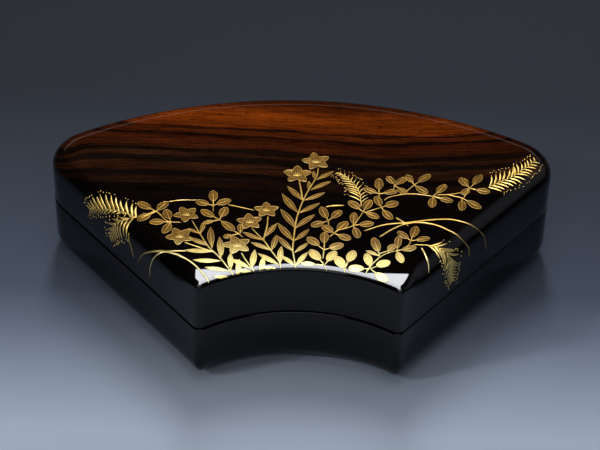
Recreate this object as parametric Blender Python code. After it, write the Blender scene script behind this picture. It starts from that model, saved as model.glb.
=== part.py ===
"""Fan-shaped incense box in striped ebony: a hollow base with a standing inner rim, and a lid that lifts off.

Seen from above the box is the leaf of a folding fan. The long back edge and the short front edge are arcs,
and the two sides are straight. It stands on z = 0. The origin is the middle of the footprint's box,
+Y runs towards the long back edge and +X to the right. Lengths are in metres.
"""
from math import asin, atan, cos, hypot, pi, sin

import bmesh
import bpy
from mathutils import Vector

# Plan, measured between the corners before they are rounded
BACK_WIDTH = 0.0991          # chord of the long back edge
FRONT_WIDTH = 0.0346         # chord of the short front edge
CHORD_DEPTH = 0.0409         # between the two chords
BACK_RISE = 0.0183           # the back arc stands out past its chord
FRONT_RISE = 0.0059          # the front arc bites in past its chord
BACK_CORNER_R = 0.0085
FRONT_CORNER_R = 0.0015

# Heights
BASE_HEIGHT = 0.0118         # underside to the ledge that carries the lid
LID_HEIGHT = 0.0095          # lower edge of the lid to its flat top
SEAM_GAP = 0.0003            # between the ledge and the lid's lower edge

# The rim that stands up inside the base, and the lid's skirt that drops round it
SKIRT_THICKNESS = 0.0012
RIM_CLEARANCE = 0.0003       # between the skirt and the rim
RIM_THICKNESS = 0.0015
RIM_HEIGHT = 0.0030          # above the ledge
RIM_HEADROOM = 0.0004        # above the rim, under the step in the lid

# Thicknesses
WALL = SKIRT_THICKNESS + RIM_CLEARANCE + RIM_THICKNESS   # full wall of the base, and of the lid over its step
FLOOR = 0.0025
LID_TOP = 0.0026             # top board of the lid, in the middle

# The lid's upper edge: a soft fall from the flat middle, then a round that turns down into the wall.
# It is wide along the sides and the back, crisp along the front, and tapers near the front corners.
WIDE_ROUND = 0.0027          # plan width of the round
WIDE_FALL_WIDTH = 0.0010
WIDE_FALL = 0.00006
CRISP_ROUND = 0.0005
CRISP_FALL_WIDTH = 0.0008
CRISP_FALL = 0.00008
ARRIS_SLOPE = 0.02           # slope where the fall leaves the flat middle
TAPER_LENGTH = 0.0060        # along each side, from the crisp edge to the wide one

# Other edges
BASE_EDGE_R = 0.0045         # underside to base wall
SEAM_EDGE_R = 0.00025        # either side of the seam
RIM_EDGE_R = 0.0004
FLOOR_FILLET_R = 0.0012      # floor to wall, inside
CEILING_FILLET_R = 0.0012    # lid wall to ceiling, inside

# Smoothness
BACK_ARC_STEPS = 32
FRONT_ARC_STEPS = 14
TAPER_STEPS = 4
SIDE_STEPS = 2
BACK_CORNER_STEPS = 8
FRONT_CORNER_STEPS = 4
WIDE_ROUND_STEPS = 6
SMALL_ROUND_STEPS = 3
FALL_STEPS = 2
SMALLEST_CORNER_R = 0.0004   # where an inset line has used up its corner's own radius
SHARP_ANGLE = pi / 5         # a crease sharper than this stays crisp


def clear_scene():
    for old in list(bpy.data.objects):
        bpy.data.objects.remove(old, do_unlink=True)


def arc_radius(chord, rise):
    """Radius of the arc that stands out by rise over a chord."""
    return (chord * chord / 4 + rise * rise) / (2 * rise)


def meet_circle(start, direction, centre, radius):
    """Where the line from start along direction meets a circle, nearest to start."""
    offset = start - centre
    along = offset.dot(direction)
    root = max(along * along - offset.length_squared + radius * radius, 0.0) ** 0.5
    return start + direction * min(root - along, -root - along, key=abs)


def arc_points(centre, radius, start_angle, end_angle, steps):
    """Points on an arc, without the last one, which starts the next stretch."""
    turn = (end_angle - start_angle) / steps
    angles = [start_angle + turn * i for i in range(steps)]
    return [centre + radius * Vector((cos(a), sin(a))) for a in angles]


def side_shares():
    """Places along a straight side, as shares of it, closer together where the lid's edge tapers."""
    taper = TAPER_LENGTH / hypot((BACK_WIDTH - FRONT_WIDTH) / 2, CHORD_DEPTH)
    near = [taper * i / TAPER_STEPS for i in range(TAPER_STEPS)]
    far = [taper + (1 - taper) * i / SIDE_STEPS for i in range(SIDE_STEPS)]
    return near + far


def heading(vector):
    """Angle of a plan vector, from 0 to a full turn."""
    return Vector((1.0, 0.0)).angle_signed(vector) * -1 % (2 * pi)


def fan_outline(inset):
    """Closed plan outline moved inwards by inset, from the middle of the front, counterclockwise."""
    back_r = arc_radius(BACK_WIDTH, BACK_RISE)
    front_r = arc_radius(FRONT_WIDTH, FRONT_RISE)
    back_centre = Vector((0.0, BACK_RISE - back_r))
    front_centre = Vector((0.0, FRONT_RISE - front_r - CHORD_DEPTH))
    back_end = Vector((BACK_WIDTH / 2, 0.0))
    front_end = Vector((FRONT_WIDTH / 2, -CHORD_DEPTH))
    along_side = (back_end - front_end).normalized()
    side_out = Vector((along_side.y, -along_side.x))

    corner_b = max(BACK_CORNER_R - inset, SMALLEST_CORNER_R)
    corner_f = max(FRONT_CORNER_R - inset, SMALLEST_CORNER_R)
    centre_b = meet_circle(back_end - side_out * (inset + corner_b), along_side,
                           back_centre, back_r - inset - corner_b)
    centre_f = meet_circle(front_end - side_out * (inset + corner_f), along_side,
                           front_centre, front_r + inset + corner_f)

    front_half = asin(centre_f.x / (centre_f - front_centre).length)
    side_angle = heading(side_out)
    if side_angle > pi:
        side_angle -= 2 * pi
    back_angle = heading(centre_b - back_centre)
    half = arc_points(front_centre, front_r + inset, pi / 2, pi / 2 - front_half, FRONT_ARC_STEPS // 2)
    half += arc_points(centre_f, corner_f, -pi / 2 - front_half, side_angle, FRONT_CORNER_STEPS)
    side_start = centre_f + side_out * corner_f
    side_end = centre_b + side_out * corner_b
    half += [side_start.lerp(side_end, share) for share in side_shares()]
    half += arc_points(centre_b, corner_b, side_angle, back_angle, BACK_CORNER_STEPS)
    half += arc_points(back_centre, back_r - inset, back_angle, pi / 2, BACK_ARC_STEPS // 2)
    half.append(Vector((0.0, BACK_RISE - inset)))
    mirrored = [Vector((-p.x, p.y)) for p in reversed(half[1:-1])]
    return half + mirrored


def wide_edge_shares():
    """How far the lid's edge is the wide one at each outline point: 0 in front, 1 on the sides and back."""
    half = [0.0] * (FRONT_ARC_STEPS // 2 + FRONT_CORNER_STEPS)
    for i in range(TAPER_STEPS):
        t = i / TAPER_STEPS
        half.append(t * t * (3 - 2 * t))
    half += [1.0] * (SIDE_STEPS + BACK_CORNER_STEPS + BACK_ARC_STEPS // 2 + 1)
    return half + half[-2:0:-1]


def rounding(centre_inset, centre_z, radius, start_angle, end_angle, steps=SMALL_ROUND_STEPS):
    """Profile points (inset, z) on an arc, both ends included."""
    turn = (end_angle - start_angle) / steps
    angles = [start_angle + turn * i for i in range(steps + 1)]
    return [(centre_inset + radius * cos(a), centre_z + radius * sin(a)) for a in angles]


def upper_edge(top_z, fall_width, fall, round_width):
    """Outer profile of the lid from its flat middle to the top of the wall: a soft fall, then a round."""
    arris_fall = ARRIS_SLOPE * fall_width
    curved_fall = fall - arris_fall
    points = []
    for i in range(FALL_STEPS):
        share = i / FALL_STEPS
        points.append((round_width + fall_width * (1 - share),
                       top_z - arris_fall * share - curved_fall * share * share))
    slope = atan((arris_fall + 2 * curved_fall) / fall_width)
    radius = round_width / (1 - sin(slope))
    centre_z = top_z - fall - radius * cos(slope)
    return points + rounding(radius, centre_z, radius, pi / 2 + slope, pi, WIDE_ROUND_STEPS)


def base_profile():
    rim_top = BASE_HEIGHT + RIM_HEIGHT
    rim_outside = SKIRT_THICKNESS + RIM_CLEARANCE
    points = rounding(BASE_EDGE_R, BASE_EDGE_R, BASE_EDGE_R, 3 * pi / 2, pi, WIDE_ROUND_STEPS)
    points += rounding(SEAM_EDGE_R, BASE_HEIGHT - SEAM_EDGE_R, SEAM_EDGE_R, pi, pi / 2)
    points.append((rim_outside, BASE_HEIGHT))
    points += rounding(rim_outside + RIM_EDGE_R, rim_top - RIM_EDGE_R, RIM_EDGE_R, pi, pi / 2)
    points += rounding(WALL - RIM_EDGE_R, rim_top - RIM_EDGE_R, RIM_EDGE_R, pi / 2, 0)
    points += rounding(WALL + FLOOR_FILLET_R, FLOOR + FLOOR_FILLET_R, FLOOR_FILLET_R, pi, 3 * pi / 2)
    return points


def lid_profile(fall_width, fall, round_width):
    lower_z = BASE_HEIGHT + SEAM_GAP
    top_z = lower_z + LID_HEIGHT
    step_z = BASE_HEIGHT + RIM_HEIGHT + RIM_HEADROOM
    ceiling_z = top_z - LID_TOP
    points = upper_edge(top_z, fall_width, fall, round_width)
    points += rounding(SEAM_EDGE_R, lower_z + SEAM_EDGE_R, SEAM_EDGE_R, pi, 3 * pi / 2)
    points += [(SKIRT_THICKNESS, lower_z), (SKIRT_THICKNESS, step_z), (WALL, step_z)]
    points += rounding(WALL + CEILING_FILLET_R, ceiling_z - CEILING_FILLET_R, CEILING_FILLET_R, pi, pi / 2)
    return points


def plan_middle():
    """Half way between the frontmost and the backmost point of the outline."""
    ys = [p.y for p in fan_outline(0.0)]
    return (min(ys) + max(ys)) / 2


def lofted_piece(name, front_profile, profile, material):
    """Closed solid with one outline for each profile point, joined in turn and capped at both ends.

    Along the front edge it has front_profile, elsewhere profile. Both have as many points.
    """
    middle = plan_middle()
    shares = wide_edge_shares()
    mesh = bmesh.new()
    rings = []
    for (front_inset, front_z), (inset, z) in zip(front_profile, profile):
        ring = []
        for near, far, share in zip(fan_outline(front_inset), fan_outline(inset), shares):
            point = near.lerp(far, share)
            ring.append(mesh.verts.new((point.x, point.y - middle, front_z + (z - front_z) * share)))
        rings.append(ring)
    for lower, upper in zip(rings, rings[1:]):
        for i, vert in enumerate(lower):
            mesh.faces.new((lower[i - 1], vert, upper[i], upper[i - 1]))
    mesh.faces.new(rings[0])
    mesh.faces.new(rings[-1])
    bmesh.ops.recalc_face_normals(mesh, faces=mesh.faces)
    data = bpy.data.meshes.new(name)
    mesh.to_mesh(data)
    mesh.free()
    data.shade_smooth()
    data.set_sharp_from_angle(angle=SHARP_ANGLE)
    data.materials.append(material)
    piece = bpy.data.objects.new(name, data)
    bpy.context.scene.collection.objects.link(piece)
    return piece


def lacquered_wood(name, colour, roughness):
    """Clear-lacquered wood."""
    material = bpy.data.materials.new(name)
    material.use_nodes = True
    shader = material.node_tree.nodes["Principled BSDF"]
    shader.inputs["Base Color"].default_value = (*colour, 1.0)
    shader.inputs["Roughness"].default_value = roughness
    shader.inputs["Metallic"].default_value = 0.0
    material.diffuse_color = (*colour, 1.0)
    return material


clear_scene()
lid_wood = lacquered_wood("lid_ebony", (0.060, 0.022, 0.009), 0.12)
base_wood = lacquered_wood("base_ebony", (0.022, 0.010, 0.006), 0.14)
lofted_piece("base", base_profile(), base_profile(), base_wood)
lofted_piece("lid", lid_profile(CRISP_FALL_WIDTH, CRISP_FALL, CRISP_ROUND),
             lid_profile(WIDE_FALL_WIDTH, WIDE_FALL, WIDE_ROUND), lid_wood)
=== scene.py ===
# %% [markdown]
# # A fan-shaped incense box in striped ebony, with autumn plants in gold
# The box is 92 mm wide and has the outline of the leaf of a folding fan. Its base and its lift-off lid are
# cut from near-black ebony with brown stripes, under clear gloss lacquer. Over the front of the lid grow
# bellflowers, bush clover and pampas grass, drawn in gold powder that is set in raised lacquer lines.
# The solids are loaded first. They fix every size, so that what is drawn here lands where it belongs.

# %% Load the solids
from math import asin, atan, atan2, cos, degrees, pi, radians, sin

import bmesh
import bpy
import numpy as np
from mathutils import Matrix, Vector
from numpy.linalg import norm


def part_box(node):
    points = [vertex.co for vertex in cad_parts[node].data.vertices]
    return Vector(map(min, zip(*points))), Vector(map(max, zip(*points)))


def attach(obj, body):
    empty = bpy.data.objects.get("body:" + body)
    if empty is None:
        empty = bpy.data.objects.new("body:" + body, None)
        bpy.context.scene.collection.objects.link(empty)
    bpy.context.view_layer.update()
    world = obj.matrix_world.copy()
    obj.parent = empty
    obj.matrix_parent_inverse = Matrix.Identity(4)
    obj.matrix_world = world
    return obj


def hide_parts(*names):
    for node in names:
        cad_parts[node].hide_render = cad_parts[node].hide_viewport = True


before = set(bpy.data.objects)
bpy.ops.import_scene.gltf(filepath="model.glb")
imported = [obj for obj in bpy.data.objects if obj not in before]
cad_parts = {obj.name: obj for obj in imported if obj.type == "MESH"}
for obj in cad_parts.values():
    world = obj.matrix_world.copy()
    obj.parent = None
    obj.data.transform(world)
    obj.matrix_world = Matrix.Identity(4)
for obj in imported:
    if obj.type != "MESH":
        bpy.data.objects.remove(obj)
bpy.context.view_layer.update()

BASE_LOW, BASE_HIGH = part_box("base")
LID_LOW, LID_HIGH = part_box("lid")
MM = 0.001
for name, low, high in (("base", BASE_LOW, BASE_HIGH), ("lid", LID_LOW, LID_HIGH)):
    print(name, "from", round(low[2] / MM, 2), "to", round(high[2] / MM, 2), "mm above the table")

# %% [markdown]
# ## The outline
# The leaf of a fan is a piece of a ring: two arcs round one centre, and two straight sides that point at it.
# Blender could draw it as a curve with bevelled corners, but the corners would be hard to keep exact. So
# one function works out the outline for any distance inwards from the edge, and the same few sizes give
# the wall, its inner face and every line of the rounded rims. The solids are made in the same way with
# coarser steps. The lacquered faces sit a few hundredths of a millimetre inside them, for the gold to fit.

# %% Sizes of the plan
BACK_WIDTH = 99.1 * MM          # chord of the long back edge
FRONT_WIDTH = 34.6 * MM         # chord of the short front edge
CHORD_DEPTH = 40.9 * MM         # between the two chords
BACK_RISE = 18.3 * MM           # the back arc stands out past its chord
FRONT_RISE = 5.9 * MM           # the front arc bites in past its chord
BACK_CORNER_R = 8.5 * MM
FRONT_CORNER_R = 1.5 * MM
SMALLEST_CORNER_R = 0.4 * MM
TAPER_LENGTH = 6.0 * MM         # along each side, from the crisp front rim to the wide rim
GOLD_LIFT = 0.06 * MM           # the highest gold line over the lacquer

FRONT_STEPS, FRONT_CORNER_STEPS, TAPER_STEPS, SIDE_STEPS, BACK_CORNER_STEPS, BACK_STEPS = 34, 10, 14, 26, 18, 56


# %% The outline at any distance inwards
def arc_radius(chord, rise):
    """Radius of the arc that stands out by rise over a chord."""
    return (chord * chord / 4 + rise * rise) / (2 * rise)


def unit(turn):
    """Unit directions at angles in radians, counterclockwise from the right."""
    return np.stack([np.cos(turn), np.sin(turn)], axis=-1)


def arc(centre, radius, start, end, steps):
    """Points on an arc, without the last one, which starts the next stretch."""
    return centre + radius * unit(np.linspace(start, end, steps, endpoint=False))


def meet_circle(start, along, centre, radius):
    """Where the line from start along a unit direction meets a circle, nearest to start."""
    offset = start - centre
    middle = offset @ along
    root = max(middle * middle - offset @ offset + radius * radius, 0.0) ** 0.5
    return start + along * min(root - middle, -root - middle, key=abs)


def fan_outline(inset):
    """Closed plan outline, moved inwards by inset, from the middle of the front, counterclockwise."""
    inset = inset + GOLD_LIFT
    back_r, front_r = arc_radius(BACK_WIDTH, BACK_RISE), arc_radius(FRONT_WIDTH, FRONT_RISE)
    back_centre = np.array([0.0, BACK_RISE - back_r])
    front_centre = np.array([0.0, FRONT_RISE - front_r - CHORD_DEPTH])
    back_end, front_end = np.array([BACK_WIDTH / 2, 0.0]), np.array([FRONT_WIDTH / 2, -CHORD_DEPTH])
    along = (back_end - front_end) / norm(back_end - front_end)
    outwards = np.array([along[1], -along[0]])
    corner_b = max(BACK_CORNER_R - inset, SMALLEST_CORNER_R)
    corner_f = max(FRONT_CORNER_R - inset, SMALLEST_CORNER_R)
    centre_b = meet_circle(back_end - outwards * (inset + corner_b), along, back_centre,
                           back_r - inset - corner_b)
    centre_f = meet_circle(front_end - outwards * (inset + corner_f), along, front_centre,
                           front_r + inset + corner_f)
    front_half = asin(centre_f[0] / norm(centre_f - front_centre))
    side_angle = atan2(outwards[1], outwards[0])
    back_angle = atan2(*(centre_b - back_centre)[::-1])
    side_start, side_end = centre_f + outwards * corner_f, centre_b + outwards * corner_b
    taper = TAPER_LENGTH / norm(side_end - side_start)
    shares = np.r_[np.linspace(0, taper, TAPER_STEPS, endpoint=False),
                   np.linspace(taper, 1, SIDE_STEPS, endpoint=False)][:, None]
    half = np.vstack([
        arc(front_centre, front_r + inset, pi / 2, pi / 2 - front_half, FRONT_STEPS),
        arc(centre_f, corner_f, -pi / 2 - front_half, side_angle, FRONT_CORNER_STEPS),
        side_start + (side_end - side_start) * shares,
        arc(centre_b, corner_b, side_angle, back_angle, BACK_CORNER_STEPS),
        arc(back_centre, back_r - inset, back_angle, pi / 2, BACK_STEPS),
        [[0.0, BACK_RISE - inset]],
    ])
    return np.vstack([half, (half[1:-1] * [-1, 1])[::-1]])


plan = fan_outline(-GOLD_LIFT)
PLAN_MIDDLE = (plan[:, 1].min() + plan[:, 1].max()) / 2
print("plan", (np.ptp(plan, axis=0) / MM).round(2), "mm with", len(plan), "points")

# %% Where the rim is wide and where it is crisp
t = np.linspace(0, 1, TAPER_STEPS, endpoint=False)
half_shares = np.r_[np.zeros(FRONT_STEPS + FRONT_CORNER_STEPS), t * t * (3 - 2 * t),
                    np.ones(SIDE_STEPS + BACK_CORNER_STEPS + BACK_STEPS + 1)]
WIDE_SHARES = np.r_[half_shares, half_shares[-2:0:-1]]

# %% [markdown]
# ## The two lacquered pieces
# A lidded box like this is sawn from one block, hollowed, and then given an inner rim that the lid slides
# over. Its upper edge is sanded to a soft round along the sides and the back, while the short front edge
# stays crisp. A bevel could make that edge, but it can't change from wide to crisp along it. So each piece
# is lofted: a profile of (distance inwards, height) points runs from the top of the lid down the wall and
# up inside it, and every profile point becomes one outline.

# %% Sizes of the profiles
WALL = 3.0 * MM
SKIRT = 1.2 * MM                # the lid's thin lower wall
RIM_GAP = 0.3 * MM              # between the base's inner rim and the lid's skirt
SEAM_GAP = 0.3 * MM             # between the base's ledge and the closed lid
RIM_HEIGHT = 3.0 * MM
RIM_HEADROOM = 0.4 * MM         # over the inner rim, under the step in the lid
FLOOR = 2.5 * MM
LID_TOP = 2.6 * MM
FILLET = 1.2 * MM
BASE_EDGE_R = 4.5 * MM
SEAM_EDGE_R = 0.25 * MM
RIM_EDGE_R = 0.4 * MM
WIDE = dict(width=2.7 * MM, fall_width=1.0 * MM, fall=0.06 * MM)
CRISP = dict(width=0.5 * MM, fall_width=0.8 * MM, fall=0.08 * MM)
ARRIS_SLOPE = 0.02              # how sharply the flat top breaks where the fall begins
FLAT_RING = 0.05 * MM           # a last flat ring before each fall keeps the top flat up to its edge
TOP_Z = LID_HIGH[2] - GOLD_LIFT
LEDGE_Z = LID_LOW[2] - SEAM_GAP


# %% Profiles
def bend(inset, z, radius, start, end, steps=5):
    """Profile points (inset, z) on an arc, both ends included, angles in degrees."""
    return [inset, z] + radius * unit(np.radians(np.linspace(start, end, steps + 1)))


def upper_rim(width, fall_width, fall, fall_steps=6, steps=16):
    """Profile from the flat middle of the lid to the top of its wall: a soft fall, then a round."""
    arris = ARRIS_SLOPE * fall_width
    share = np.linspace(0, 1, fall_steps, endpoint=False)
    slope = atan((arris + 2 * (fall - arris)) / fall_width)
    radius = width / (1 - sin(slope))
    soft = np.c_[width + fall_width * (1 - share), TOP_Z - arris * share - (fall - arris) * share * share]
    flat = [(width + fall_width + FLAT_RING, TOP_Z)]
    rounded = bend(radius, TOP_Z - fall - radius * cos(slope), radius, 90 + degrees(slope), 180, steps)
    return np.vstack([flat, soft, rounded])


def lid_profile(rim):
    """From the top down the wall and up inside to the ceiling."""
    ceiling, step = LID_HIGH[2] - LID_TOP, LEDGE_Z + RIM_HEIGHT + RIM_HEADROOM
    return np.vstack([
        upper_rim(**rim),
        bend(SEAM_EDGE_R, LID_LOW[2] + SEAM_EDGE_R, SEAM_EDGE_R, 180, 270),
        [(SKIRT, LID_LOW[2]), (SKIRT, step), (WALL, step)],
        bend(WALL + FILLET, ceiling - FILLET, FILLET, 180, 90),
    ])


def base_profile():
    """From the underside up the wall, over the inner rim and down to the floor."""
    rim_top, rim_outside = LEDGE_Z + RIM_HEIGHT, SKIRT + RIM_GAP
    return np.vstack([
        [(BASE_EDGE_R + FLAT_RING, 0.0)],
        bend(BASE_EDGE_R, BASE_EDGE_R, BASE_EDGE_R, 270, 180, 16),
        bend(SEAM_EDGE_R, LEDGE_Z - SEAM_EDGE_R, SEAM_EDGE_R, 180, 90),
        [(rim_outside, LEDGE_Z)],
        bend(rim_outside + RIM_EDGE_R, rim_top - RIM_EDGE_R, RIM_EDGE_R, 180, 90),
        bend(WALL - RIM_EDGE_R, rim_top - RIM_EDGE_R, RIM_EDGE_R, 90, 0),
        bend(WALL + FILLET, FLOOR + FILLET, FILLET, 180, 270),
    ])


# %% Loft a profile round the outline
def add_object(name, data):
    """An object in the scene, from a mesh, a light or a camera."""
    thing = bpy.data.objects.new(name, data)
    bpy.context.scene.collection.objects.link(thing)
    return thing


def add_piece(name, verts, faces, materials, slot, face_materials=None):
    """A mesh object that rides with the box. Its faces are turned outwards."""
    data = bpy.data.meshes.new(name)
    data.from_pydata([tuple(v) for v in verts], [], [tuple(f) for f in faces])
    mesh = bmesh.new()
    mesh.from_mesh(data)
    bmesh.ops.recalc_face_normals(mesh, faces=mesh.faces)
    mesh.to_mesh(data)
    mesh.free()
    if face_materials is not None:
        data.polygons.foreach_set("material_index", face_materials)
    for material in materials:
        data.materials.append(material)
    data.shade_smooth()
    piece = add_object(name, data)
    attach(piece, "root")
    print(name, len(data.polygons), "faces")
    return piece


def ring_faces(rings, count, closed=False):
    """Faces between rings of count points. The ends are capped, or if closed, joined to each other."""
    faces = []
    for ring in range(rings if closed else rings - 1):
        a, b = ring * count, (ring + 1) % rings * count
        faces += [(a + i, a + (i + 1) % count, b + (i + 1) % count, b + i) for i in range(count)]
    return faces if closed else faces + [range(count), range((rings - 1) * count, rings * count)]


def loft(front_profile, profile):
    """Vertices and faces of a closed solid with one outline for each profile point, capped at both ends."""
    rings, share = [], WIDE_SHARES[:, None]
    for (front_inset, front_z), (inset, z) in zip(front_profile, profile):
        flat = fan_outline(front_inset) * (1 - share) + fan_outline(inset) * share
        rings.append(np.c_[flat - [0, PLAN_MIDDLE], front_z + (z - front_z) * WIDE_SHARES])
    return np.vstack(rings), ring_faces(len(rings), len(WIDE_SHARES))


# %% [markdown]
# ## Colours and nodes
# Colours are written as the hex values that a paint chart shows. Blender computes with linear light, so
# one function converts them. Two more set or join the inputs of a node, and add a node.

# %% Helpers for materials
def linear(code):
    """sRGB hex such as '66300C' to linear RGBA."""
    parts = [int(code[i:i + 2], 16) / 255 for i in (0, 2, 4)]
    return (*(c / 12.92 if c <= 0.04045 else ((c + 0.055) / 1.055) ** 2.4 for c in parts), 1.0)


def set_inputs(material, node, inputs):
    """Each input is a value, or an output socket that it is joined to."""
    for key, value in inputs.items():
        if isinstance(value, bpy.types.NodeSocket):
            material.node_tree.links.new(value, node.inputs[key])
        else:
            node.inputs[key].default_value = value


def add_node(material, kind, inputs=None, output=0, **settings):
    """Adds a ShaderNode of that kind with its settings and inputs, and returns one of its outputs."""
    node = material.node_tree.nodes.new("ShaderNode" + kind)
    for name, value in settings.items():
        setattr(node, name, value)
    set_inputs(material, node, inputs or {})
    return node.outputs[output]


def new_material(name):
    """A node material and its shader, which is already joined to the output."""
    material = bpy.data.materials.new(name)
    material.use_nodes = True
    return material, material.node_tree.nodes["Principled BSDF"]


def colours_along(material, place, table):
    """A colour that follows a place, from a table of (place, hex)."""
    low, high = table[0][0], table[-1][0]
    share = add_node(material, "MapRange", {"Value": place, "From Min": low, "From Max": high})
    colour = add_node(material, "ValToRGB", {"Fac": share})
    stops = colour.node.color_ramp.elements
    while len(stops) < len(table):
        stops.new(0.5)
    for stop, (at, code) in zip(stops, table):
        stop.position, stop.color = (at - low) / (high - low), linear(code)
    return colour


# %% [markdown]
# ## Striped ebony under clear lacquer
# Striped ebony has growth layers of near-black heartwood between brown ones. The box shows a few broad
# bands, orange-brown towards the back and black towards the front, that run from side to side and bend down
# at the left end. A picture of wood is the usual way to show it. Here the colour depends on the place in
# the block instead, so that the stripes run on over the rounded rim, down the walls and over the base, as in
# real wood. Noise that is stretched along the grain frays the bands and adds fine streaks and pores. The
# wood is a little darker on the right, and darker from where the rim starts to fall below the flat top, on
# down the walls and the base. The lacquer is a clear coat, polished until it mirrors lamps with sharp edges.

# %% Bands of the wood
# Height of the pale marker stripe over the middle of the plan, from the left end to the right, in mm
STRIPE_LINE = [(-46, 4.0), (-42, 7.7), (-38, 9.3), (-28, 9.2), (-10, 8.5), (9, 7.5), (18, 7.3), (30, 8.2),
               (46, 10.6)]
# Distance behind the marker stripe in mm, and the colour there
BANDS = [(-15.0, "0B0604"), (-10.2, "0E0805"), (-9.4, "1E0F07"), (-7.8, "24130A"), (-6.7, "120A06"),
         (-5.6, "130B07"), (-5.0, "30180B"), (-3.0, "331A0C"), (-2.6, "150C07"), (-1.0, "160D08"),
         (-0.5, "331A0D"), (0.4, "30180C"), (0.8, "180D07"), (1.9, "1B0E07"), (2.3, "3E1B0A"),
         (4.4, "461C09"), (5.6, "401807"), (5.9, "1C0B05"), (6.4, "1A0B05"), (6.7, "4E2008"),
         (7.8, "582308"), (8.1, "2A1006"), (8.6, "2C1106"), (8.9, "6A2B08"), (12.5, "823808"),
         (14.5, "702E08"), (17.0, "5A2507")]
BOX_END, LINE_REACH = 46.0, 12.0    # in mm: half the length of the stripe's curve, and its largest height
LAYER_TILT = 3.2                # the layers lean: one mm down the wall is this many mm across the top
DOWN = 0.3                      # how fast the grain changes down the wall, against across the layers

# %% Grain of the wood
# Each pattern is (length of a thread over its width, width in mm, detail, seed)
PORES = (9.0, 0.14, 0.0, 41.0)  # real pores are about 0.1 mm wide, drawn a little coarser so that they show
# Slow waves and frayed edges of the bands, each with its reach in mm
WANDER = [((4.0, 7.0, 2.0, 3.0), 0.75), ((12.0, 0.8, 4.0, 11.0), 0.62)]
# Patches, streaks and hairlines, each with the factors that the colour varies between
STREAKS = [((6.0, 4.0, 1.0, 27.0), (0.55, 1.4)), ((22.0, 0.5, 3.0, 5.0), (0.42, 1.5)),
           ((26.0, 0.17, 1.0, 8.0), (0.55, 1.42))]


# %% Wood material
def striped_ebony(name):
    """Ebony with brown bands, by the place in the block, under a clear gloss coat."""
    material, shader = new_material(name)
    place = add_node(material, "TexCoord", output="Object")
    in_mm = add_node(material, "VectorMath", {0: place, 3: 1 / MM}, operation="SCALE")
    axes = add_node(material, "SeparateXYZ", {0: in_mm}).node.outputs
    across = add_node(material, "MapRange", {"Value": axes["X"], "From Min": -BOX_END, "From Max": BOX_END})
    curve = add_node(material, "FloatCurve", {"Value": across})
    mapping = curve.node.mapping
    points = mapping.curves[0].points
    while len(points) < len(STRIPE_LINE):
        points.new(0.5, 0.5)
    for point, (x, y) in zip(points, STRIPE_LINE):
        point.location = ((x + BOX_END) / (2 * BOX_END), y / LINE_REACH)
    mapping.update()
    behind = add_node(material, "Math", {0: curve, 1: -LINE_REACH, 2: axes["Y"]}, operation="MULTIPLY_ADD")
    sunk = add_node(material, "Math", {0: TOP_Z / MM, 1: axes["Z"]}, operation="SUBTRACT")
    layer = add_node(material, "Math", {0: sunk, 1: -LAYER_TILT, 2: behind}, operation="MULTIPLY_ADD")
    block = add_node(material, "CombineXYZ", {0: axes["X"], 1: layer, 2: axes["Z"]})

    def grain(stretch, width, detail, seed):
        """Noise -1..1 in threads of that width in mm across the grain, stretch times as long along it."""
        where = add_node(material, "VectorMath", {
            0: block, 1: (1 / (width * stretch), 1 / width, DOWN / width), 2: (seed, 0, 0)},
            operation="MULTIPLY_ADD")
        noise = add_node(material, "TexNoise", {
            "Vector": where, "Scale": 1.0, "Detail": detail, "Roughness": 0.55})
        return add_node(material, "MapRange", {
            "Value": noise, "From Min": 0.25, "From Max": 0.75, "To Min": -1.0, "To Max": 1.0},
            clamp=False)

    def shade(colour, amount, amounts, factors, **settings):
        """Scales a colour by a factor that runs between two factors as amount does between two amounts."""
        factor = add_node(material, "MapRange", {
            "Value": amount, "From Min": amounts[0], "From Max": amounts[1], "To Min": factors[0],
            "To Max": factors[1]}, **settings)
        return add_node(material, "VectorMath", {0: colour, 3: factor}, operation="SCALE")

    for pattern, reach in WANDER:
        layer = add_node(material, "Math", {0: grain(*pattern), 1: reach, 2: layer}, operation="MULTIPLY_ADD")
    colour = colours_along(material, layer, BANDS)
    for pattern, factors in STREAKS:
        colour = shade(colour, grain(*pattern), (-1.0, 1.0), factors)
    colour = shade(colour, grain(*PORES), (0.45, 0.8), (1.0, 0.35))
    # Darker from 16 mm left of the middle to 10 mm right of it, and where the rim falls by up to 0.22 mm
    colour = shade(colour, axes["X"], (-16.0, 10.0), (1.04, 0.8), interpolation_type="SMOOTHSTEP")
    colour = shade(colour, sunk, (0.01, 0.22), (1.0, 0.45))
    set_inputs(material, shader, {"Base Color": colour, "Roughness": 0.6, "Specular IOR Level": 0.0,
                                  "Coat Weight": 1.0, "Coat Roughness": 0.006, "Coat IOR": 1.38})
    return material


EBONY = striped_ebony("striped_ebony_clear_lacquered")

# %% Base and lid
SHARP_EDGE = radians(36)        # edges that bend by more than this stay sharp
lid = add_piece("lid_lacquered", *loft(lid_profile(CRISP), lid_profile(WIDE)), [EBONY], "lid_wood")
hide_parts("lid")
base = add_piece("base_lacquered", *loft(base_profile(), base_profile()), [EBONY], "base_wood")
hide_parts("base")
for piece in (lid, base):
    piece.data.set_sharp_from_angle(angle=SHARP_EDGE)

# %% [markdown]
# ## Drawing on a curved lid
# The gold plants run from the flat top over the rounded rim and down the walls. The painter works on the
# surface as if it were one sheet. So the drawing is made flat, in millimetres on an unrolled plan, and one
# function bends it onto the box: inside the rim a point stays where it is, and further out it follows the
# rim's profile by the length that is left over. Projecting from above would smear it on the walls.

# %% Lengths along the rim
EDGE = fan_outline(0.0) - [0, PLAN_MIDDLE]


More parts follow.
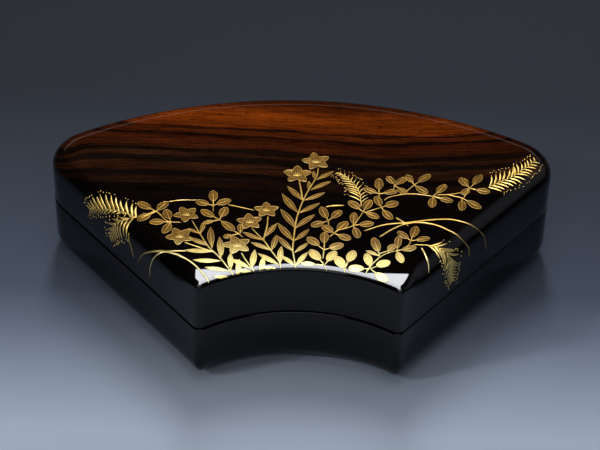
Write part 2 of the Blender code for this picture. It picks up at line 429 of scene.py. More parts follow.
def rim_table(rim):
    """Arc length, inset, height and outward lean of the surface from the flat middle down the wall."""
    points = np.vstack([upper_rim(**rim, fall_steps=12, steps=40), [(0.0, LID_LOW[2])]])
    steps = np.diff(points, axis=0)
    length = np.r_[0, np.cumsum(np.hypot(*steps.T))]
    lean = np.arctan2(-steps[:, 1], -steps[:, 0])
    return length, points[:, 0], points[:, 1], np.r_[lean[:1], (lean[1:] + lean[:-1]) / 2, lean[-1:]]


RIMS = (rim_table(CRISP), rim_table(WIDE))
FRONT_CUT = 0.25 * MM           # strokes stop this far behind the crisp front edge
FRONT_SHARE = 0.02              # with less of the wide rim, a point is at the crisp front edge
BATCH = 4000                    # points at a time, to keep the tables of distances small
print("the wide rim is", round(RIMS[1][0][-2] / MM, 2), "mm long down to the wall")


# %% Bend a flat drawing onto the box
def onto_box(points):
    """Points (x, y, height over the surface) on the unrolled plan, in metres, to places on the box."""
    flat, lift = points[:, :2], points[:, 2]
    start, end = EDGE, np.roll(EDGE, -1, axis=0)
    run = end - start
    count = len(points)
    inset, share = np.empty((2, count))
    foot, out = np.empty((2, count, 2))
    for a in range(0, count, BATCH):
        some = slice(a, a + BATCH)
        p = flat[some, None, :]
        along = np.clip(((p - start) * run).sum(2) / (run * run).sum(1), 0, 1)
        near = start + run * along[..., None]
        gap = norm(p - near, axis=2)
        k = gap.argmin(1)
        rows = np.arange(len(k))
        normal = np.c_[run[k, 1], -run[k, 0]] / norm(run[k], axis=1)[:, None]
        side = ((near[rows, k] - flat[some]) * normal).sum(1)
        inset[some] = np.where(side < 0, -gap[rows, k], gap[rows, k])
        foot[some], out[some] = near[rows, k], normal
        share[some] = (WIDE_SHARES[k] * (1 - along[rows, k])
                       + WIDE_SHARES[(k + 1) % len(EDGE)] * along[rows, k])
    inset = np.where(share < FRONT_SHARE, np.maximum(inset, FRONT_CUT), inset)
    places = np.zeros((count, 3))
    for weight, (length, insets, heights, leans) in zip((1 - share, share), RIMS):
        over = np.maximum(insets[0] - inset, 0.0)
        lean, at, z = (np.interp(over, length, column) for column in (leans, insets, heights))
        plane = np.where(over[:, None] > 0, foot + out * (lift * np.sin(lean) - at)[:, None], flat)
        places += weight[:, None] * np.c_[plane, z + lift * np.cos(lean)]
    return places


# %% [markdown]
# ## Strokes of gold
# Maki-e is drawn with a fine brush in lacquer, and gold powder is dusted over the wet line. Leaves have a
# thin ground of powder, then a raised rim and a midrib. Each stroke is its own small closed body with a
# crowned section, because a mesh that ends in open edges can't be printed, and because the crown catches
# the light as a real line does. A leaf is a broad flat stroke with a narrow one round it and one along it.

# %% One stroke
GROUND_RISE, LINE_RISE, SINK = 0.030 * MM, 0.058 * MM, 0.03 * MM
# Sections from left to right: (share of the half width, share of the rise, where -1 is the sunk foot)
ROUNDED = np.array([(-1, -1.0), (-1, 0.0), (-0.6, 0.75), (0, 1.0), (0.6, 0.75), (1, 0.0), (1, -1.0)])
FLAT = np.array([(-1, -1.0), (-1, 0.5), (-0.95, 1.0), (-0.88, 1.0), (0, 1.0), (0.88, 1.0), (0.95, 1.0),
                 (1, 0.5), (1, -1.0)])
CURVE_STEPS = 16                # points between two given ones of a smooth line


def stroke(path, half_width, rise, closed=False, section=ROUNDED):
    """Closed body along a path of (x, y) in mm. half_width is in mm, one value or one for each point."""
    path = np.asarray(path, float) * MM
    half_width = np.broadcast_to(np.asarray(half_width, float), len(path)) * MM
    if closed:
        ahead = np.roll(path, -1, axis=0) - np.roll(path, 1, axis=0)
    else:
        ahead = np.gradient(path, axis=0)
    ahead /= norm(ahead, axis=1)[:, None]
    left = np.c_[-ahead[:, 1], ahead[:, 0]]
    flat = path[:, None] + left[:, None] * (section[:, :1] * half_width[:, None, None])
    lift = np.where(section[:, 1] < 0, -SINK, section[:, 1] * rise)
    verts = np.dstack([flat, np.broadcast_to(lift, flat.shape[:2])])
    return verts.reshape(-1, 3), ring_faces(*flat.shape[:2], closed)


def smooth(points, count):
    """count points, evenly spaced, on a smooth line through a few (x, y) points."""
    points = np.asarray(points, float)
    if len(points) == 2:
        return points[0] + (points[1] - points[0]) * np.linspace(0, 1, count)[:, None]
    padded = np.vstack([2 * points[0] - points[1], points, 2 * points[-1] - points[-2]])
    line = []
    for p0, p1, p2, p3 in zip(padded, padded[1:], padded[2:], padded[3:]):
        s = np.linspace(0, 1, CURVE_STEPS, endpoint=False)[:, None]
        line.append(0.5 * (2 * p1 + (p2 - p0) * s + (2 * p0 - 5 * p1 + 4 * p2 - p3) * s ** 2
                           + (3 * p1 - p0 - 3 * p2 + p3) * s ** 3))
    line = np.vstack([*line, points[-1:]])
    run = np.r_[0, np.cumsum(norm(np.diff(line, axis=0), axis=1))]
    even = np.linspace(0, run[-1], count)
    return np.c_[np.interp(even, run, line[:, 0]), np.interp(even, run, line[:, 1])]


def heading(angle):
    """Unit direction at an angle in degrees."""
    return unit(radians(angle))


# %% Collect the strokes of a plant
GROUND, LINE, PALE = 0, 1, 2
HEIGHT_SPREAD = 0.2, -0.15, -0.15   # for each gold, the largest change of a body's height
HEIGHT_STEP = 0.618             # from one body to the next
SWELL, FADE = 3, 2.2            # how fast a brush line gets wide at its start and narrow at its end


class Drawing:
    """The strokes of one plant, each with the gold that it is made of."""
    bodies = 0

    def __init__(self):
        self.verts, self.faces, self.golds, self.count = [], [], [], 0

    def add(self, body, gold):
        """Adds a body at a height of its own, as faces that share a plane would flicker."""
        verts, faces = body
        share = Drawing.bodies * HEIGHT_STEP % 1
        Drawing.bodies += 1
        verts[:, 2] *= np.where(verts[:, 2] > 0, 1 + HEIGHT_SPREAD[gold] * share, 1)
        self.verts.append(verts)
        self.faces += [tuple(self.count + i for i in face) for face in faces]
        self.golds += [gold] * len(faces)
        self.count += len(verts)

    def line(self, points, width, taper=(1.0, 1.0), gold=LINE, count=24):
        """A brush line with its width in mm in the middle. taper gives the share of it at the two ends."""
        s = np.linspace(0, 1, count)
        share = np.minimum(taper[0] + (1 - taper[0]) * s * SWELL, taper[1] + (1 - taper[1]) * (1 - s) * FADE)
        self.add(stroke(smooth(points, count), width / 2 * np.minimum(share, 1), LINE_RISE), gold)

    def piece(self, name):
        """Bends the whole drawing onto the box and makes one piece of it."""
        add_piece(name, onto_box(np.vstack(self.verts)), self.faces, GOLDS, "gold", self.golds)


# %% [markdown]
# ## Three golds
# All three are powder of nearly pure gold under a thin polished coat of clear lacquer. The ground is a thin
# dusting of coarse powder over black, which looks tan and satin. The lines are fine powder, burnished until
# they are brighter. The plumes are dusted with a paler gold that holds some silver. A metal's colour is its
# base colour, so powder and black show together as a darker one, broken up by a noise with the size of the
# grains. Real grains are a few hundredths of a millimetre wide, and are drawn two or three times as coarse
# so that they show. Towards the short front edge the colour turns from tan to a bright yellow: this is a
# painted reflection of the softbox, and the coat catches the softbox there as well.

# %% Gold materials
SHEEN_FROM, SHEEN_TO = -15.5, -23.5  # y in mm where the painted reflection of the softbox starts to brighten the gold, and where it is full
CLOUDS_PER_METRE = 900.0        # thinner and denser patches of powder, about a millimetre wide


def powder_gold(name, own_tones, sheen_tones, roughness, grain_mm, coat):
    """Gold powder on lacquer, from two (light, dark) pairs of grain colours: the gold's own, and brighter ones
    towards the front edge that paint the softbox's reflection.
    """
    material, shader = new_material(name)
    place = add_node(material, "TexCoord", output="Object")
    grains = add_node(material, "TexNoise", {
        "Vector": place, "Scale": 1 / (grain_mm * MM), "Detail": 2.0, "Roughness": 0.7})
    clouds = add_node(material, "TexNoise", {"Vector": place, "Scale": CLOUDS_PER_METRE, "Detail": 1.0})
    amount = add_node(material, "Math", {0: grains, 1: clouds}, operation="ADD")
    amount = add_node(material, "MapRange", {"Value": amount, "From Min": 0.75, "From Max": 1.25})
    y = add_node(material, "SeparateXYZ", {0: place}, output="Y")
    # Share of the painted reflection of the softbox, which grows towards the short front edge
    front = add_node(material, "MapRange", {
        "Value": y, "From Min": SHEEN_FROM * MM, "From Max": SHEEN_TO * MM},
        interpolation_type="SMOOTHSTEP")
    tones = [add_node(material, "Mix", {"Factor": amount, 6: linear(dark), 7: linear(light)},
                      output=2, data_type="RGBA") for light, dark in (own_tones, sheen_tones)]
    colour = add_node(material, "Mix", {"Factor": front, 6: tones[0], 7: tones[1]}, output=2,
                      data_type="RGBA")
    bumps = add_node(material, "Bump", {"Height": grains, "Strength": 0.3, "Distance": 0.01 * MM})
    set_inputs(material, shader, {"Base Color": colour, "Normal": bumps, "Metallic": 1.0,
                                  "Roughness": roughness, "Coat Weight": coat, "Coat Roughness": 0.06})
    return material


# Each gold: name, its own (light, dark) colours, brighter colours that paint the softbox's reflection near the
# front edge, roughness, grain in mm, coat
GOLDS = [
    powder_gold("gold_powder_ground", ("634514", "432E0A"), ("CDB96E", "AE984E"), 0.42, 0.08, 0.5),
    powder_gold("gold_powder_burnished_line", ("DEB65E", "B08A40"), ("FFF6B0", "F4E28C"), 0.38, 0.06, 0.5),
    powder_gold("pale_gold_powder_line", ("FFE288", "EFC15C"), ("FFF2A6", "F2D880"), 0.38, 0.06, 0.3),
]

# %% [markdown]
# ## One leaf
# The painter fills a leaf with powder first and then draws its rim and its midrib over the dried ground.
# The leaf is a broad flat stroke whose width follows a sine: a low power of it gives the round leaves of
# bush clover and a power near one gives the long pointed leaves of bellflower.

# %% Leaf
RIM_LINE, MIDRIB = 0.11, 0.20   # line widths in mm
LEAF_POINTS = 17                # along the middle of a leaf
BLUNT = 0.015                   # share of the sine left out at each end, so that no end is a needle
WIDEST = 1.08                   # over 1, the widest place is nearer to the tip


def leaf(drawing, foot, angle, length, width, roundness, curl=0.0):
    """A leaf with a powder ground, a raised rim and a midrib. Lengths in mm, angles in degrees."""
    s = np.linspace(0.0, 1.0, LEAF_POINTS)
    turn = np.radians(angle + curl * (s - 0.5))
    steps = np.cumsum(unit(turn)[:-1], axis=0) * length / (LEAF_POINTS - 1)
    mid = np.asarray(foot) + np.vstack([[0, 0], steps])
    half = np.sin(pi * np.clip(s, BLUNT, 1 - BLUNT) ** WIDEST) ** roundness * width / 2
    drawing.add(stroke(mid, half, GROUND_RISE, section=FLAT), GROUND)
    left = unit(turn + pi / 2) * np.maximum(half - RIM_LINE / 2, 0.01)[:, None]
    rim = np.vstack([mid[:1], (mid + left)[1:-1], mid[-1:], (mid - left)[1:-1][::-1]])
    drawing.add(stroke(rim, RIM_LINE / 2, LINE_RISE, closed=True), LINE)
    drawing.line(mid[:-2], MIDRIB, (1.0, 0.4), count=9)


# %% [markdown]
# ## Bush clover
# Bush clover carries its round leaves in threes on thin arching stems. Each fork lists the place of the
# fork and, for each leaf, its direction, how far its tip reaches, its length and its width.

# %% Forks of the bush clover
# (x, y) in mm, then for each leaf (direction in degrees, reach, length, width in mm)
FORKS = [
    ((-25.6, -8.8), ((142, 4.4, 3.2, 2.0), (58, 3.6, 3.1, 1.9), (-138, 4.2, 3.0, 2.0))),
    ((-22.8, -11.7), ((108, 3.8, 2.9, 1.9), (-176, 3.9, 2.8, 1.9), (-109, 3.7, 3.4, 1.8))),
    ((-15.6, -6.7), ((94, 4.6, 3.4, 1.9), (158, 3.5, 2.7, 1.9), (31, 3.7, 3.0, 1.9))),
    ((-14.3, -10.8), ((140, 4.5, 3.2, 1.9), (74, 4.0, 3.1, 1.9), (-158, 3.1, 2.0, 1.2), (-49, 4.3, 3.7, 1.8))),
    ((-10.5, -14.5), ((92, 2.7, 2.3, 1.3), (-156, 3.2, 1.6, 1.4))),
    ((4.1, -18.6), ((131, 4.6, 3.1, 2.0), (88, 5.1, 3.2, 1.8), (26, 3.9, 2.9, 2.1))),
    ((4.2, -22.8), ((120, 5.0, 3.5, 2.1), (64, 4.5, 3.3, 2.0), (176, 4.2, 2.6, 1.4))),
    ((7.6, -23.9), ((111, 4.0, 3.5, 2.1), (73, 5.7, 3.4, 2.0))),
    ((5.8, -13.9), ((134, 3.0, 2.6, 1.9), (54, 4.3, 3.1, 1.9), (-29, 3.5, 2.6, 1.9))),
    ((4.8, -10.4), ((106, 4.4, 3.6, 1.8), (53, 4.0, 2.9, 1.8), (-151, 3.5, 2.6, 1.9))),
    ((9.2, -11.5), ((87, 3.8, 3.2, 1.7), (12, 3.8, 2.7, 1.9), (-77, 3.9, 3.2, 1.7))),
    ((11.0, -7.5), ((131, 4.1, 3.1, 1.9), (67, 3.9, 3.2, 1.9), (-32, 3.4, 2.7, 1.8))),
    ((14.2, -6.1), ((103, 3.5, 3.1, 1.7), (27, 3.6, 2.8, 2.1), (-62, 4.1, 3.2, 1.8))),
    ((13.9, -2.1), ((89, 4.7, 3.4, 1.9), (153, 3.3, 2.8, 1.6), (14, 3.6, 2.7, 1.6))),
    ((16.8, 0.6), ((118, 3.0, 2.5, 1.6), (47, 3.4, 3.1, 1.7), (-53, 3.4, 2.4, 1.7))),
    ((20.3, 0.8), ((111, 3.4, 2.6, 1.5), (48, 4.7, 3.5, 1.8), (-46, 3.6, 3.1, 1.8))),
    ((23.6, -2.5), ((56, 4.5, 3.2, 1.8), (-95, 3.5, 3.1, 1.8), (-24, 3.9, 2.7, 1.8))),
    ((30.3, 0.2), ((120, 3.6, 2.9, 1.9), (59, 4.9, 3.5, 1.8), (-18, 3.9, 2.7, 1.9), (-125, 2.6, 2.4, 1.6))),
    ((28.7, -2.7), ((-93, 4.0, 3.2, 1.7), (-44, 4.7, 3.5, 1.9))),
    ((13.7, -20.0), ((101, 5.4, 4.2, 1.9), (150, 2.8, 2.4, 1.0))),
    ((15.1, -18.9), ((65, 2.6, 2.2, 1.6),)),
    ((16.7, -18.4), ((82, 4.5, 3.8, 1.5), (-76, 3.6, 3.2, 1.7), (19, 3.7, 2.8, 1.8))),
    ((19.2, -15.5), ((131, 3.5, 2.8, 1.6), (76, 4.4, 3.4, 1.8), (13, 3.6, 2.7, 1.5))),
    ((12.0, -23.5), ((99, 4.4, 3.6, 1.8), (31, 4.2, 2.9, 2.2), (-50, 4.6, 3.2, 2.1), (-178, 3.9, 2.9, 2.3))),
]
CLOVER_ROUND, CLOVER_CURL = 0.52, 10     # power of the sine, and the curl to either side in degrees
SLIM_LENGTH, SLIM_WIDTH = 0.95, 0.88     # the drawn edges lie this much inside the listed sizes
STALK, STALK_INTO_LEAF = 0.27, 0.15      # mm
clover = Drawing()
for k, (fork, leaves) in enumerate(FORKS):
    for j, (angle, reach, length, width) in enumerate(leaves):
        foot = np.array(fork) + heading(angle) * (reach - length)
        leaf(clover, foot, angle, length * SLIM_LENGTH, width * SLIM_WIDTH, CLOVER_ROUND,
             CLOVER_CURL * ((k + j) % 3 - 1))
        clover.line([fork, foot + heading(angle) * STALK_INTO_LEAF], STALK, count=6)
print("bush clover:", sum(len(leaves) for _, leaves in FORKS), "leaves")

# %% Stems of the bush clover
CLOVER_STEMS = [
    [(-28.6, -10.6), (-27.2, -9.9), (-25.6, -8.8), (-23.9, -11.0), (-22.8, -11.7), (-20.9, -11.8)],
    [(-23.7, -5.9), (-21.2, -5.3), (-18.5, -5.2)], [(-15.6, -4.9), (-15.6, -6.7), (-15.5, -8.4)],
    [(-13.0, -6.3), (-10.8, -7.0), (-8.3, -7.8)], [(-11.6, -13.9), (-10.9, -14.5), (-10.0, -15.6)],
    [(3.9, -21.0), (4.1, -18.6), (4.2, -16.5)], [(4.2, -22.9), (4.6, -24.2)],
    [(7.6, -24.6), (7.8, -23.0), (8.2, -21.4)],
    [(5.1, -14.9), (5.8, -13.9), (6.7, -12.9)], [(4.9, -11.6), (4.8, -10.4), (4.5, -9.4)],
    [(6.4, -13.0), (7.9, -12.4), (9.2, -11.5), (10.1, -9.7), (11.0, -7.5), (11.3, -6.6)],
    [(11.1, -7.8), (12.6, -7.0), (14.2, -6.1)], [(13.9, -0.6), (13.9, -2.1), (13.9, -3.6)],
    [(16.6, -0.5), (16.8, 0.6), (17.3, 1.1)], [(18.8, -1.3), (20.3, 0.8), (21.2, 1.8)],
    [(14.8, -4.0), (15.6, -3.1), (17.5, -2.3), (19.3, -1.9), (21.2, -2.0), (23.6, -2.5), (25.4, -3.0)],
    [(24.3, -2.0), (26.6, -1.8), (29.2, -1.0)], [(26.2, -1.9), (28.0, -2.5), (28.7, -2.8), (29.8, -3.7)],
    [(29.1, -2.6), (29.7, -1.2), (30.3, 0.2), (31.2, 1.5)],
    [(11.2, -24.8), (12.3, -22.4), (13.4, -20.7), (14.4, -19.6), (15.5, -18.9), (16.7, -18.4), (17.9, -17.9)],
    [(13.5, -19.5), (14.4, -18.9), (15.3, -18.4)], [(18.4, -17.4), (19.0, -16.2), (19.3, -14.9)],
]
CLOVER_STEM = 0.28
for stem in CLOVER_STEMS:
    clover.line(stem, CLOVER_STEM, (0.8, 0.6))

# %% [markdown]
# ## Bellflowers
# A bellflower opens to a star of five plump pointed petals, and long narrow leaves stand along its stem.
# The flower is a disc whose edge follows the petals, so a polar grid gives it directly.

# %% One bellflower
NOTCH, PLUMPNESS = 0.47, 0.98   # how deep the notches are, and how full the petals
EDGE_POINTS = 80
PETAL_RIM, PETAL_VEIN, STAMEN = 0.14, 0.05, 0.14   # line widths in mm
# Rings of the disc, from above to below: (share of the reach, share of the rise)
RINGS = ((0.3, 1.0), (0.9, 1.0), (0.96, 1.0), (1.0, 0.5), (1.0, -1.0), (0.5, -1.0))


def bellflower(drawing, centre, radius, angle):
    """A flower with one petal at that angle in degrees. Its stamens point to the back, as if upright."""
    centre = np.array(centre)
    turn = np.linspace(0, 2 * pi, EDGE_POINTS, endpoint=False)
    ray = unit(turn + radians(angle))
    away = np.abs((turn + pi / 5) % (2 * pi / 5) - pi / 5) / (pi / 5)
    reach = (1 - NOTCH * away ** PLUMPNESS)[:, None] * radius
    lifts = [np.full(EDGE_POINTS, -SINK if rise < 0 else rise * GROUND_RISE) for _, rise in RINGS]
    verts = [np.c_[(centre + ray * reach * share) * MM, lift] for (share, _), lift in zip(RINGS, lifts)]
    drawing.add((np.vstack(verts), ring_faces(len(verts), EDGE_POINTS)), GROUND)
    drawing.add(stroke(centre + ray * (reach - PETAL_RIM / 2), PETAL_RIM / 2, LINE_RISE, closed=True), LINE)
    for k in range(5):
        for side, end in ((-14, 0.6), (0, 0.85), (14, 0.6)):
            along = heading(angle + 72 * k + side) * radius
            drawing.line([centre + along * 0.3, centre + along * end], PETAL_VEIN, (0.9, 0.5), count=5)
    foot = centre - [0, 0.18 * radius]
    for k in range(-3, 4):
        tip = foot + heading(90 + 25 * k) * radius * (0.42 - 0.03 * abs(k))
        drawing.line([foot, tip], STAMEN, gold=PALE, count=6)


# %% Bellflowers, their stems and leaves
bellflowers = Drawing()
# middle in mm, radius in mm, direction of one petal in degrees
FLOWERS = [((2.6, 7.4), 2.75, 103), ((-0.8, 3.2), 2.75, 90), ((-6.1, -7.6), 2.32, 94),
           ((-9.0, -11.1), 2.4, 98), ((-11.0, -17.8), 2.65, 108), ((-20.2, -9.4), 2.38, 48),
           ((-21.0, -15.7), 2.55, 48)]
BELL_STEMS = [
    [(-0.7, -23.9), (-1.1, -20.6), (-1.3, -18.9), (-1.2, -16.1), (-0.8, -10.4), (0.0, -6.0), (0.9, -2.6),
     (2.2, 1.1), (2.8, 3.1), (3.0, 5.5)],
    [(0.2, -4.4), (0.0, -2.2), (-0.5, 1.7)], [(-6.4, -16.4), (-6.3, -15.2), (-5.9, -12.4), (-5.8, -9.6)],
    [(-3.3, -23.9), (-3.5, -22.3), (-5.0, -19.2), (-6.4, -16.3), (-7.4, -14.8), (-8.6, -12.9)],
    [(-7.4, -25.4), (-8.5, -23.5), (-9.4, -21.7), (-10.1, -20.0)],
    [(-10.6, -27.0), (-11.9, -24.8), (-13.7, -21.5), (-15.9, -18.4), (-17.5, -14.9), (-19.1, -11.2)],
    [(-14.6, -20.0), (-16.4, -19.2), (-18.0, -18.4), (-20.1, -17.4)],
]
# foot in mm, direction in degrees, length in mm
BELL_LEAVES = [
    (-0.7, -23.3, 63, 4.6), (-1.0, -19.6, 50, 3.9), (-1.1, -16.3, 53, 4.4), (-0.9, -12.7, 50, 5.4),
    (-0.3, -8.3, 40, 4.8), (0.5, -4.6, 34, 4.6), (1.7, -1.4, 36, 4.6), (2.7, 1.7, 41, 4.2),
    (-0.8, -23.2, 133, 3.8), (-1.2, -19.2, 124, 5.2), (-1.2, -16.4, 120, 5.9), (-0.9, -12.8, 117, 6.3),
    (-0.5, -8.3, 118, 6.4), (0.3, -4.6, 125, 5.2), (1.3, -1.7, 90, 3.0), (2.5, 1.6, 98, 2.8),
    (-3.5, -23.1, 141, 5.0), (-5.0, -19.1, 150, 4.3), (-6.5, -16.3, 149, 4.4), (-6.2, -15.4, 63, 4.5),
    (-5.0, -19.2, 80, 4.6), (-3.4, -22.9, 88, 5.2), (-8.2, -24.2, 86, 5.4), (-8.3, -24.3, 145, 4.8),
    (-7.8, -25.0, 176, 2.9), (-6.7, -25.2, 84, 4.5), (-3.9, -24.0, 176, 2.6), (-17.6, -14.8, 148, 2.6),
    (-17.4, -14.8, 82, 3.6), (-15.8, -18.3, 149, 4.4), (-15.2, -18.8, 95, 6.1), (-15.0, -19.8, 178, 5.1),
    (-13.6, -21.6, 95, 6.0), (-13.5, -22.3, 179, 5.0), (-11.9, -25.0, 169, 4.5), (-11.0, -26.8, 177, 3.8),
    (-11.7, -24.7, 93, 4.8), (-10.5, -26.5, 89, 4.9),
]
BELL_STEM, BELL_LENGTH, BELL_ROUND, BELL_CURL = 0.32, 0.97, 0.85, 8
for stem in BELL_STEMS:
    bellflowers.line(stem, BELL_STEM, (1.0, 0.75), count=36)
for k, (x, y, angle, length) in enumerate(BELL_LEAVES):
    width = 0.32 + 0.155 * length     # longer leaves are slimmer
    leaf(bellflowers, (x, y), angle, length * BELL_LENGTH, width, BELL_ROUND, BELL_CURL * (k % 3 - 1))
for centre, radius, angle in FLOWERS:
    bellflower(bellflowers, centre, radius, angle)
print("bellflowers:", len(FLOWERS), "flowers and", len(BELL_LEAVES), "leaves")

# %% [markdown]
# ## Pampas grass
# A plume is a feather of short brush strokes on both sides of a spine, each thick in its middle and thin at
# its tip, with drops of dew beyond the tips. A blade is one long stroke that arches over the rim.

# %% Plumes
plumes = Drawing()
rng = np.random.default_rng(7)
SPINE_LINE, SPINE_POINTS = 0.2, 100
UNEVEN = 0.92, 1.08             # factors that make the barbs unlike each other
SMALLEST_BARB = 0.3             # mm
DROP_SIDES = 8
DEW_RADIUS, DEW_GAP = (0.11, 0.16), (0.35, 0.8)    # mm
DEW_SPREAD, DEW_SWAY, DEW_SHARE = 22, 12, 0.8      # degrees, degrees, share of the places that have a drop


def drop(drawing, centre, radius):
    """A low round dome."""
    ray = unit(np.linspace(0, 2 * pi, DROP_SIDES, endpoint=False)) * radius * MM
    middle = np.asarray(centre) * MM
    verts = [np.c_[middle + ray * share, np.full(DROP_SIDES, lift)]
             for share, lift in ((1, -SINK), (1, 0.2 * LINE_RISE), (0.55, LINE_RISE))]
    drawing.add((np.vstack(verts), ring_faces(len(verts), DROP_SIDES)), PALE)


def plume(drawing, spine, left, right, width, bare):
    """Barbs on both sides of a spine in mm. left and right give the number of barbs, their lean in degrees and
    their length in mm at the root, in the middle and at the tip. The share bare of the spine has none."""
    line = smooth(spine, SPINE_POINTS)
    drawing.line(spine, SPINE_LINE, (1.0, 0.6), gold=PALE, count=40)
    ahead = np.gradient(line, axis=0)
    for side, (count, lean, *lengths) in ((1, left), (-1, right)):
        for i in range(count):
            share = (i + 0.5 * (side > 0)) / count
            k = int((bare + (1 - bare) * share) * (SPINE_POINTS - 1))
            along = degrees(atan2(ahead[k, 1], ahead[k, 0]))
            size = np.interp(share, (0, 0.5, 1), lengths) * rng.uniform(*UNEVEN)
            if size < SMALLEST_BARB:
                continue
            start, bend_at = along + side * lean * 0.8, along + side * lean * 1.12
            middle = line[k] + heading(start) * size * 0.5
            end = middle + heading(bend_at) * size * 0.5
            barb = smooth([line[k], middle, end], 11)
            swell = np.sin(pi * (0.08 + 0.86 * np.linspace(0, 1, len(barb)) ** 0.85))
            drawing.add(stroke(barb, width / 2 * swell * min(1, 0.45 + size / 5), LINE_RISE), PALE)
            for spread in (-DEW_SPREAD, DEW_SPREAD):
                spot = end + heading(bend_at + spread + rng.uniform(-DEW_SWAY, DEW_SWAY)) * rng.uniform(*DEW_GAP)
                if rng.random() < DEW_SHARE:
                    drop(drawing, spot, rng.uniform(*DEW_RADIUS) * min(1, 0.5 + size / 4))


# Spine in mm, barbs on its left and on its right, width of a barb in mm, bare share of the spine
PLUMES = [
    ([(-28.9, -10.6), (-30.5, -9.4), (-32.0, -8.6), (-33.6, -7.7), (-35.4, -6.9), (-38.0, -5.9), (-40.5, -5.3)],
     (13, 36, 0.0, 1.8, 1.2), (13, 50, 3.2, 4.0, 1.2), 0.54, 0.0),
    ([(-28.9, -10.6), (-31.2, -10.6), (-32.6, -10.5), (-34.6, -10.6), (-37.9, -11.5)],
     (9, 58, 4.0, 3.0, 1.2), (6, 26, 1.6, 2.8, 1.2), 0.52, 0.0),
    ([(10.7, -5.9), (10.6, -4.2), (10.5, -2.4), (10.0, -0.6), (9.3, 0.9), (8.4, 2.4), (7.3, 3.5), (6.2, 4.1)],
     (11, 52, 2.9, 2.1, 0.8), (11, 46, 2.0, 1.8, 0.7), 0.27, 0.1),
    ([(33.6, 0.6), (35.3, 1.9), (36.8, 3.0), (38.4, 4.1), (39.7, 5.6), (41.1, 7.0), (43.0, 9.5)],
     (13, 46, 3.7, 3.0, 1.2), (13, 66, 2.9, 2.4, 1.2), 0.46, 0.0),
    ([(19.7, -16.6), (21.4, -16.6), (22.5, -16.8), (23.7, -17.1), (24.7, -17.6), (25.8, -18.0),
      (26.8, -18.8), (28.5, -19.7), (31.4, -21.3)],
     (13, 44, 2.6, 3.0, 1.2), (12, 42, 3.4, 2.7, 1.2), 0.46, 0.2),
]
for spine, left, right, width, bare in PLUMES:
    plume(plumes, spine, left, right, width, bare)
print("pampas grass:", len(PLUMES), "plumes")

# %% Blades
blades = Drawing()
BLADE_WIDTH = 0.40
BLADES = [
    [(11.1, -13.0), (14.8, -11.1), (19.0, -10.3), (22.8, -9.4), (26.3, -9.1), (28.9, -9.9), (31.4, -10.9),
     (33.7, -11.4), (37.1, -12.8)],
    [(13.8, -14.6), (16.0, -12.4), (18.3, -10.8), (21.0, -10.2), (23.9, -10.9), (26.5, -12.7),
     (28.5, -14.2), (30.4, -14.9), (32.3, -16.0)],
    [(16.8, -9.0), (17.8, -10.0), (18.9, -11.3)],
    [(21.0, -17.4), (21.6, -19.4), (22.1, -21.2), (22.4, -23.0)],
    [(-15.1, -28.6), (-15.9, -26.8), (-18.1, -23.4), (-20.6, -21.1), (-22.1, -20.2), (-23.5, -19.6),
     (-25.5, -19.8), (-28.7, -20.8), (-30.7, -22.1)],
    [(-19.7, -19.8), (-22.8, -19.7), (-24.3, -19.2), (-27.6, -18.3), (-29.6, -18.2), (-32.1, -18.5)],
    [(-30.7, -13.4), (-31.6, -15.2), (-32.8, -17.4)],
    [(4.4, -6.3), (5.8, -5.9), (7.6, -5.8)],
]
for blade in BLADES:
    blades.line(blade, BLADE_WIDTH, (0.8, 0.3), count=48)
print("pampas grass:", len(BLADES), "blades")

# %% Put the gold on the lid
for drawing, name in ((clover, "gold_bush_clover"), (bellflowers, "gold_bellflowers"),
                      (plumes, "gold_plumes"), (blades, "gold_grass_blades")):
    drawing.piece(name)

# %% [markdown]
# ## Table, light and camera
# The box stands on a sheet of paper that is pale in front and greyer behind. A tall softbox stands behind
# it, high enough that the lid mirrors only its lower end near the front edge. Broad panels overhead and in
# front light the wood and the gold. A lamp on the left lights the table, which the walls mirror. The camera
# looks down from the front with a long lens.

# %% Table
# (y in mm, colour of the paper there)
PAPER = [(-42, "A6B1C2"), (-26, "848F9F"), (-15, "666F80"), (-4, "4C5464"), (20, "3E4552"), (60, "2E323A")]
HALF = 3.0                      # metres from the middle of the table to its edges, far outside the picture


def graded_paper():
    """A plain sheet, pale in front and greyer behind."""
    material, shader = new_material("graded_blue_grey_paper")
    place = add_node(material, "TexCoord", output="Object")
    in_mm = add_node(material, "VectorMath", {0: place, 3: 1 / MM}, operation="SCALE")
    y = add_node(material, "SeparateXYZ", {0: in_mm}, output="Y")
    set_inputs(material, shader, {"Base Color": colours_along(material, y, PAPER), "Roughness": 0.7,
                                  "Specular IOR Level": 0.1})
    return material


table_mesh = bpy.data.meshes.new("table")
table_mesh.from_pydata([(-HALF, -HALF, 0), (HALF, -HALF, 0), (HALF, HALF, 0), (-HALF, HALF, 0)], [],
                       [(0, 1, 2, 3)])
table_mesh.materials.append(graded_paper())
table = add_object("table", table_mesh)


# %% Lights
def hang(light, place, aim):
    """Puts a light in its place, turned towards aim."""
    lamp = add_object(light.name, light)
    lamp.location = place
    lamp.rotation_euler = (Vector(aim) - Vector(place)).to_track_quat("-Z", "Y").to_euler()


def panel(name, place, size, brightness, aim=(0, 0, 0.02), tint="FFFFFF"):
    """A rectangular soft light that faces aim. size is its width and height in metres."""
    light = bpy.data.lights.new(name, "AREA")
    light.shape = "RECTANGLE"
    light.size, light.size_y = size
    light.energy = brightness * pi * size[0] * size[1]
    light.color = linear(tint)[:3]
    hang(light, place, aim)


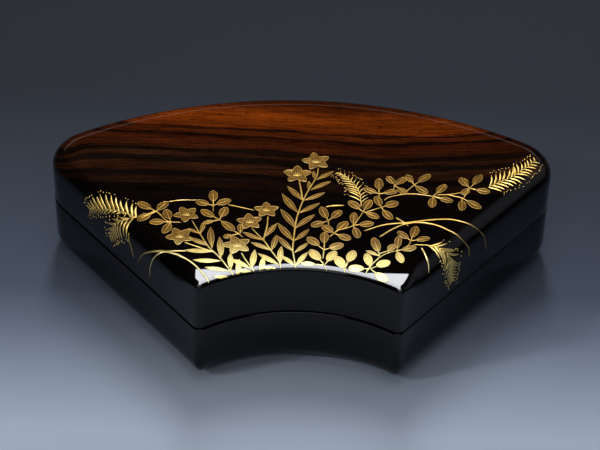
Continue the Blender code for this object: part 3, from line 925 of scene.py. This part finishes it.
# The softbox leans over the box: its lower edge is 1 m behind and 0.85 m up, its upper edge nearer and higher
panel("tall_softbox_behind", (0.0057, 0.725, 1.0790), (0.1785, 0.711), 19.0, aim=(0.0057, 0.091, 0.3055),
      tint="F8FAFF")
panel("panel_overhead", (0.0, -0.02, 0.75), (0.40, 0.30), 2.7)
panel("panel_in_front", (0.0, -0.62, 0.66), (0.70, 0.30), 2.6, aim=(0, -0.04, 0))
panel("low_strip_behind", (0.0, 1.5, 0.91), (1.6, 0.07), 0.7, aim=(0, 0, 0.91))

side_lamp = bpy.data.lights.new("lamp_on_the_left", "SPOT")
side_lamp.energy, side_lamp.shadow_soft_size = 7.0, 0.04
side_lamp.spot_size, side_lamp.spot_blend = radians(24), 1.0
hang(side_lamp, (-0.60, -0.26, 0.42), (0.0, -0.04, 0.0))

# %% The dim room, with a soft glow on the right
world = bpy.data.worlds.new("dim_room")
world.use_nodes = True
room = world.node_tree.nodes["Background"]
GLOW_AZIMUTH, GLOW_HEIGHT, GLOW_RADIUS = radians(62), radians(40), radians(38)
DIM, GLOW = 0.012, 0.36
towards = (sin(GLOW_AZIMUTH) * cos(GLOW_HEIGHT), cos(GLOW_AZIMUTH) * cos(GLOW_HEIGHT), sin(GLOW_HEIGHT))
direction = add_node(world, "TexCoord", output="Generated")
facing = add_node(world, "VectorMath", {0: direction, 1: towards}, "Value", operation="DOT_PRODUCT")
glow = add_node(world, "MapRange", {
    "Value": facing, "From Min": cos(GLOW_RADIUS), "From Max": 1.0, "To Min": DIM, "To Max": GLOW},
    interpolation_type="SMOOTHSTEP")
set_inputs(world, room, {"Color": linear("E6ECFF"), "Strength": glow})
bpy.context.scene.world = world

# %% Camera
DISTANCE, ELEVATION, AZIMUTH, ROLL = 369.06 * MM, 37.75, -0.128, 1.399
SENSOR, PICTURE_WIDTH, FOCAL_PIXELS = 36.0, 600, 2000
TARGET = Vector((-0.1 * MM, -8.24 * MM - PLAN_MIDDLE, 10.28 * MM))
e, a, r = radians(ELEVATION), radians(AZIMUTH), radians(ROLL)
back = Vector((sin(a) * cos(e), -cos(a) * cos(e), sin(e)))
right = (-back).cross(Vector((0, 0, 1))).normalized()
up = right.cross(-back)
matrix = Matrix((right * cos(r) + up * sin(r), up * cos(r) - right * sin(r), back)).transposed().to_4x4()
matrix.translation = TARGET + back * DISTANCE
view = bpy.data.cameras.new("camera")
view.sensor_width, view.lens, view.clip_start = SENSOR, FOCAL_PIXELS * SENSOR / PICTURE_WIDTH, 0.01
camera = add_object("camera", view)
camera.matrix_world = matrix
bpy.context.scene.camera = camera
bpy.context.scene.view_settings.view_transform = "Standard"
